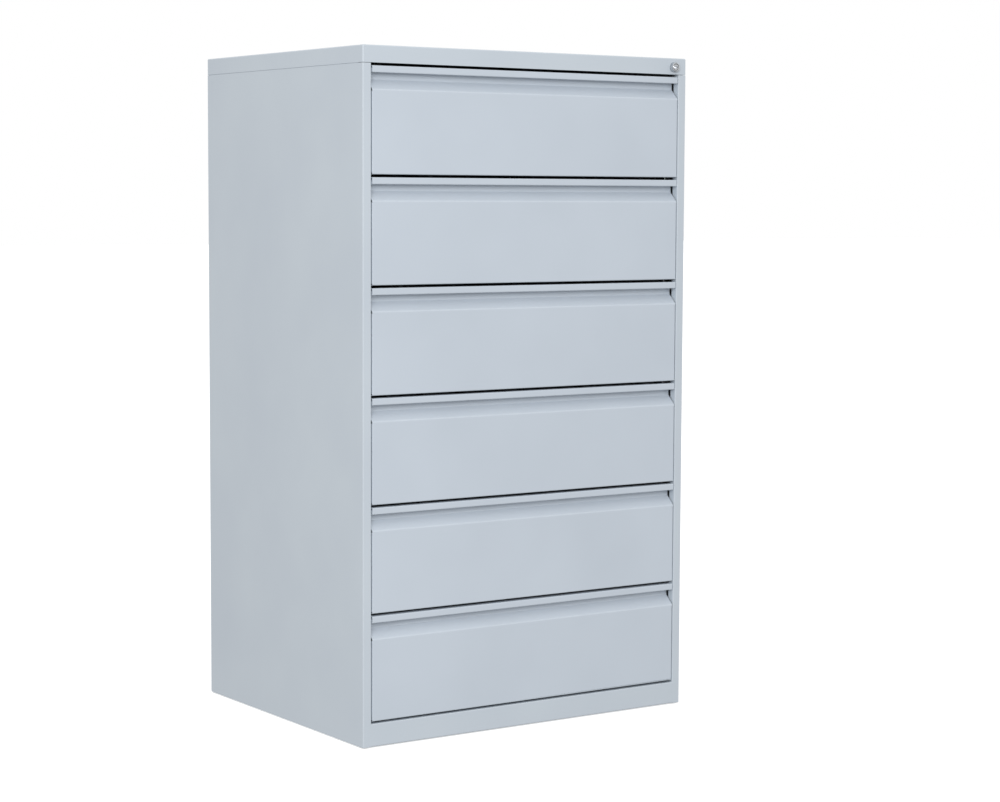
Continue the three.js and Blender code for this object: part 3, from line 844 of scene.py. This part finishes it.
def turn_back_end(bm, end, face_y, start, stop):
    """Turns the flat face's end back, between notches that keep it clear of the other folds."""
    for place in (start, start + RELIEF_STEP, stop - RELIEF_STEP, stop):
        bmesh.ops.bisect_plane(
            bm,
            geom=bm.verts[:] + bm.edges[:] + bm.faces[:],
            plane_co=(0, 0, place),
            plane_no=(0, 0, 1),
        )
    inward = math.copysign(EDGE_FOLD, -end)

    def is_end(vert):
        on_face = abs(vert.co.x - end) < SAME_PLACE and abs(vert.co.y - face_y) < SAME_PLACE
        return on_face and start + SAME_PLACE < vert.co.z < stop - SAME_PLACE

    verts = [vert for vert in bm.verts if is_end(vert)]
    bmesh.ops.translate(bm, verts=verts, vec=(inward, 0, 0))
    edges = list({edge for vert in verts for edge in vert.link_edges if edge.other_vert(vert) in verts})
    layer = bm.verts.layers.float["fold"]
    axis = Vector((end + inward, face_y + EDGE_FOLD, 0))
    spun = edges
    for step in range(FOLD_STEPS):
        made = bmesh.ops.extrude_edge_only(bm, edges=spun)["geom"]
        moved = [part for part in made if isinstance(part, bmesh.types.BMVert)]
        spun = [part for part in made if isinstance(part, bmesh.types.BMEdge)]
        turn = math.copysign(math.pi / 2 / FOLD_STEPS, end)
        bmesh.ops.rotate(bm, cent=axis, matrix=Matrix.Rotation(turn, 3, "Z"), verts=moved)
        for vert in moved:
            vert[layer] = 0.0 if step == FOLD_STEPS - 1 else 1.0
    made = bmesh.ops.extrude_edge_only(bm, edges=spun)["geom"]
    moved = [part for part in made if isinstance(part, bmesh.types.BMVert)]
    bmesh.ops.translate(bm, verts=moved, vec=(0, FRONT_RETURN - EDGE_FOLD, 0))


def backing_sheet(node):
    low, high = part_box(node)
    line = [(low.y, low.z), (low.y, high.z), (high.y, high.z)]
    return folded_sheet("X", line, [low.x, high.x])


def tray_box(node):
    """Floor and sides in one sheet with hemmed tops, a flanged back, and the catch for the lock."""
    low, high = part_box(node)
    half = -low.x
    hem_end = high.z - TRAY_HEM_DROP
    trough = folded_sheet(
        "Y",
        [
            (half - TRAY_HEM, hem_end),
            (half - TRAY_HEM, high.z),
            (half, high.z),
            (half, low.z),
            (-half, low.z),
            (-half, high.z),
            (-half + TRAY_HEM, high.z),
            (-half + TRAY_HEM, hem_end),
        ],
        [low.y, high.y - SHEET],
    )
    rear = folded_sheet(
        "X",
        [
            (high.y - TRAY_HEM, high.z - SHEET),
            (high.y, high.z - SHEET),
            (high.y, low.z + SHEET),
            (high.y - TRAY_FLANGE, low.z + SHEET),
        ],
        [-half + SHEET, half - SHEET],
    )
    catch_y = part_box("lock_bar")[1].y + CATCH_GAP
    catch = plate(
        (half - SHEET / 2, catch_y, low.z + CATCH_HEIGHTS[0]),
        (high.x, catch_y + CATCH_STEEL, low.z + CATCH_HEIGHTS[1]),
    )
    return [trough, rear, catch]


def runner_screw(wall, y, z):
    """A pan-head screw with a cross recess, which holds a runner to the inside of a right-hand wall."""
    profile = [
        (0, wall),
        (SCREW_RADIUS, wall),
        (SCREW_RADIUS, wall - SCREW_HEAD / 3),
        (0.8 * SCREW_RADIUS, wall - 0.8 * SCREW_HEAD),
        (0.4 * SCREW_RADIUS, wall - SCREW_HEAD),
        (0, wall - SCREW_HEAD),
    ]
    reach, half_width = SCREW_SLOT / 2, 2 * BURR
    xs = (wall - 2 * SCREW_HEAD, wall - SCREW_HEAD / 4)
    level = plate((xs[0], y - reach, z - half_width), (xs[1], y + reach, z + half_width), BURR)
    upright = plate((xs[0], y - half_width, z - reach), (xs[1], y + half_width, z + reach), BURR)
    return cut(cut(turned(profile, "X", (0, y, z), SCREW_STEPS), [level]), [upright])


def ball_cage(web, lips, half, ends, middle_z):
    """A thin channel that carries a row of balls along each edge."""
    parts = [runner_member(web, lips, half, ends, middle_z, 0, CAGE_STEEL)]
    count = int((ends[1] - ends[0]) / BALL_PITCH)
    x = lips * (1 - BALL_SEAT) + web * BALL_SEAT
    for i in range(count):
        y = ends[0] + (i + 0.5) * BALL_PITCH
        for z in (middle_z - half, middle_z + half):
            ball = start_shape()
            bmesh.ops.create_uvsphere(ball, u_segments=10, v_segments=6, radius=BALL_RADIUS)
            bmesh.ops.translate(ball, vec=(x, y, z), verts=ball.verts[:])
            parts.append(ball)
    return parts


# ---- Lock -----------------------------------------------------------------------------------------


def lock_barrel():
    """The fixed barrel: a rolled rim round the core, and a nut behind the lid's channel."""
    low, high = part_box("lock_housing")
    rim = [(0.0000, 0.0012), (0.0006, 0.0003), (0.0014, 0.0)]
    edge = [(0.0012, 0.0), (0.0004, 0.0004), (0.0, 0.0014)]
    profile = [(BARREL_BORE + r, low.y + y) for r, y in rim]
    profile += [(BARREL_RADIUS - r, low.y + y) for r, y in edge]
    profile += [(BARREL_RADIUS, high.y), (BARREL_BORE, high.y), profile[0]]
    radius, start, end = BARREL_NUT
    nut = hex_nut("Y", lock_centre(), radius, FRONT + start, FRONT + end)
    return [turned(profile, "Y", lock_centre(), 64), nut]


def lock_core():
    """The turning core, with its keyway and the square tail that drives the cam."""
    low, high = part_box("lock_plug")
    centre = lock_centre()
    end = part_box("lock_housing")[1].y + CLEAR
    bevel = 2 * BURR
    profile = [(0, low.y), (CORE_RADIUS - bevel, low.y), (CORE_RADIUS, low.y + bevel)]
    profile += [(CORE_RADIUS, end), (0, end)]
    half_width, half_height, depth = KEYWAY
    keyway = plate(
        (centre.x - half_width, low.y - SHEET, centre.z - half_height),
        (centre.x + half_width, low.y + depth, centre.z + half_height),
        BURR,
    )
    tail = plate(
        (centre.x - CORE_TAIL, end - SHEET, centre.z - CORE_TAIL),
        (centre.x + CORE_TAIL, high.y, centre.z + CORE_TAIL),
    )
    return [cut(turned(profile, "Y", centre), [keyway]), tail]


# ---- Assembly -------------------------------------------------------------------------------------

SATIN = 0.42  # roughness of the paint on flat sheet
# Each paint's third colour is the lighter colour on its folds: a painted highlight, with some wear.
CARCASS_PAINT = powder_coat(
    "Satin polyester powder coat, carcass", ("#c0c9d2", "#c4cdd5"), "#cbd3da", SATIN
)
DRAWER_PAINT = powder_coat(
    "Satin polyester powder coat, drawers", ("#c0c9d3", "#c4cdd7"), "#cbd4dc", SATIN
)
ZINC_LONG = zinc_plate("Bright zinc plate on rolled runner steel", "Y")
ZINC_TALL = zinc_plate("Bright zinc plate on strip steel", "Z")
NICKEL = nickel_plate("Bright nickel plate on turned zinc alloy", lock_centre())
NYLON = black_nylon("Moulded black nylon 6")


def add_carcass():
    paint = ("carcass", CARCASS_PAINT, "carcass_powder_coat")
    add_piece("right_side_sheet", side_sheet(), *paint, ["right_side_panel"])
    left = [mirrored(part) for part in side_sheet()]
    add_piece("left_side_sheet", left, *paint, ["left_side_panel"])
    add_piece("lid_shell", lid_shell(), *paint, ["top_cap"])
    add_piece("lid_front_channel", lid_channel(), *paint, ["top_front_brace"])
    add_piece("plinth_channel", plinth_channel(), *paint, ["plinth_rail"])
    add_piece("rear_sheet", rear_sheet(), *paint, ["back_panel"])
    add_piece("floor_pan", floor_pan(), *paint, ["base_pan"])
    zinc = ("carcass", ZINC_LONG, "zinc_plated_steel")
    add_piece("right_runner_rack", runner_rack(), *zinc, ["right_runner_frame"])
    left = [mirrored(part) for part in runner_rack()]
    add_piece("left_runner_rack", left, *zinc, ["left_runner_frame"])
    for end in ("front", "rear"):
        for side in ("left", "right"):
            node = f"{end}_{side}_levelling_foot"
            foot, stud, nut = levelling_glide(node)
            name = f"{end}_{side}_glide"
            add_piece(name, [foot], "carcass", NYLON, "black_nylon", [node])
            add_piece(f"{name}_stud", [stud, nut], "carcass", ZINC_TALL, "zinc_plated_steel")


def add_lock():
    add_piece("lock_barrel", lock_barrel(), "carcass", NICKEL, "nickel_plate", ["lock_housing"])
    add_piece("lock_core", lock_core(), "lock_cylinder", NICKEL, "nickel_plate", ["lock_plug"])
    for node, material in (("lock_cam", NICKEL), ("lock_bar", ZINC_TALL), ("lock_bar_guide", NYLON)):
        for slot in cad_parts[node].material_slots:
            slot.material = material


def add_drawer(i):
    drawer = f"drawer_{i}"
    paint = (drawer, DRAWER_PAINT, "drawer_powder_coat")
    front = drawer_front_sheet(f"{drawer}_front")
    add_piece(f"{drawer}_front_sheet", [front], *paint, [f"{drawer}_front"])
    backing = backing_sheet(f"{drawer}_inner_front")
    add_piece(f"{drawer}_backing_sheet", [backing], *paint, [f"{drawer}_inner_front"])
    add_piece(f"{drawer}_tray_box", tray_box(f"{drawer}_tray"), *paint, [f"{drawer}_tray"])
    for side in ("left", "right"):
        add_runners(drawer, side)


def add_runners(drawer, side):
    """Both moving members of one runner, and the ball cages, which travel with the middle member."""
    low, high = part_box(f"{drawer}_right_inner_runner")
    half, z = (high.z - low.z) / 2, (low.z + high.z) / 2
    inner = [runner_member(low.x, high.x, half, (low.y, high.y), z, 0)]
    wall = -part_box(f"{drawer}_tray")[0].x - SHEET
    screws = [runner_screw(wall, y, z) for y in SCREW_PLACES]
    low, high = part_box(f"{drawer}_right_middle_runner")
    half = (high.z - low.z) / 2
    middle = [runner_member(high.x, low.x, half, (low.y, high.y), z)]
    cages = [part for cage in CAGES for part in ball_cage(*cage, z)]
    groups = (inner, screws, middle, cages)
    if side == "left":
        groups = [[mirrored(part) for part in group] for group in groups]
    inner, screws, middle, cages = groups
    zinc = (ZINC_LONG, "zinc_plated_steel")
    name = f"{drawer}_{side}"
    add_piece(f"{name}_inner_slide", inner, drawer, *zinc, [f"{name}_inner_runner"])
    add_piece(f"{name}_runner_screws", screws, drawer, *zinc)
    carrier = f"{drawer}_middle_runners"
    add_piece(f"{name}_middle_slide", middle, carrier, *zinc, [f"{name}_middle_runner"])
    add_piece(f"{name}_ball_cages", cages, carrier, *zinc)


# ---- Floor, light and camera ----------------------------------------------------------------------


def add_floor():
    """A plain white floor, which shows to the camera but throws no light on the cabinet."""
    bm = start_shape()
    bmesh.ops.create_grid(bm, x_segments=2, y_segments=2, size=FLOOR_HALF)
    floor = object_from(bm, "studio_floor")
    glow = {"Emission Color": WHITE, "Emission Strength": FLOOR_GLOW}
    material, tree, shader, place = start_material("Matt white studio floor", {"Roughness": 0.9, **glow})
    mottle = add_node(tree, "ShaderNodeTexNoise", {"Scale": 3.0, "Detail": 2.0}, {"Vector": place})
    shades = add_node(
        tree,
        "ShaderNodeValToRGB",
        links={"Fac": mottle.outputs["Fac"]},
        stops=[(0.0, "#f9f9f8"), (1.0, "#fdfdfc")],
    )
    tree.links.new(shades.outputs["Color"], shader.inputs["Base Color"])
    floor.data.materials.append(material)
    floor.visible_diffuse = False
    floor.visible_glossy = False


def add_sky():
    """Soft light, weaker from below, behind a background that shows plain white."""
    world = bpy.data.worlds.new("studio")
    bpy.context.scene.world = world
    world.use_nodes = True
    tree = world.node_tree
    tree.nodes.clear()
    direction = add_node(tree, "ShaderNodeTexCoord").outputs["Generated"]
    height = add_node(tree, "ShaderNodeSeparateXYZ", links={"Vector": direction})
    level = add_node(
        tree,
        "ShaderNodeMapRange",
        {
            "From Min": SKY_HEIGHTS[0],
            "From Max": SKY_HEIGHTS[1],
            "To Min": SKY_LEVELS[0],
            "To Max": SKY_LEVELS[1],
        },
        {"Value": height.outputs["Z"]},
    )
    strength = {"Strength": level.outputs["Result"]}
    light = add_node(tree, "ShaderNodeBackground", {"Color": WHITE}, strength)
    seen = add_node(tree, "ShaderNodeBackground", {"Color": WHITE})
    which = add_node(
        tree,
        "ShaderNodeMixShader",
        links={
            "Fac": add_node(tree, "ShaderNodeLightPath").outputs["Is Camera Ray"],
            1: light.outputs["Background"],
            2: seen.outputs["Background"],
        },
    )
    add_node(tree, "ShaderNodeOutputWorld", links={"Surface": which.outputs["Shader"]})


def add_softbox():
    lamp = bpy.data.lights.new("key_softbox", "AREA")
    lamp.shape = "RECTANGLE"
    lamp.size, lamp.size_y = SOFTBOX_SIZE
    lamp.energy = SOFTBOX_WATTS
    key = bpy.data.objects.new("key_softbox", lamp)
    key.location = SOFTBOX_PLACE
    aim = SOFTBOX_TARGET - SOFTBOX_PLACE
    key.rotation_euler = aim.to_track_quat("-Z", "Y").to_euler()
    bpy.context.scene.collection.objects.link(key)


def add_camera():
    """Stands at a seated eye's height, in front and to the left."""
    lens = bpy.data.cameras.new("camera")
    lens.sensor_width = 36
    lens.lens = CAMERA_LENS
    camera = bpy.data.objects.new("camera", lens)
    camera.location = CAMERA_PLACE
    heading, tilt, roll = (Matrix.Rotation(math.radians(turn), 3, axis) for axis, turn in CAMERA_TURNS)
    camera.rotation_euler = (heading @ tilt @ roll).to_euler()
    bpy.context.scene.collection.objects.link(camera)
    bpy.context.scene.camera = camera


bpy.context.scene.view_settings.view_transform = "Standard"
add_carcass()
add_lock()
for number in DRAWERS:
    add_drawer(number)
add_floor()
add_sky()
add_softbox()
add_camera()
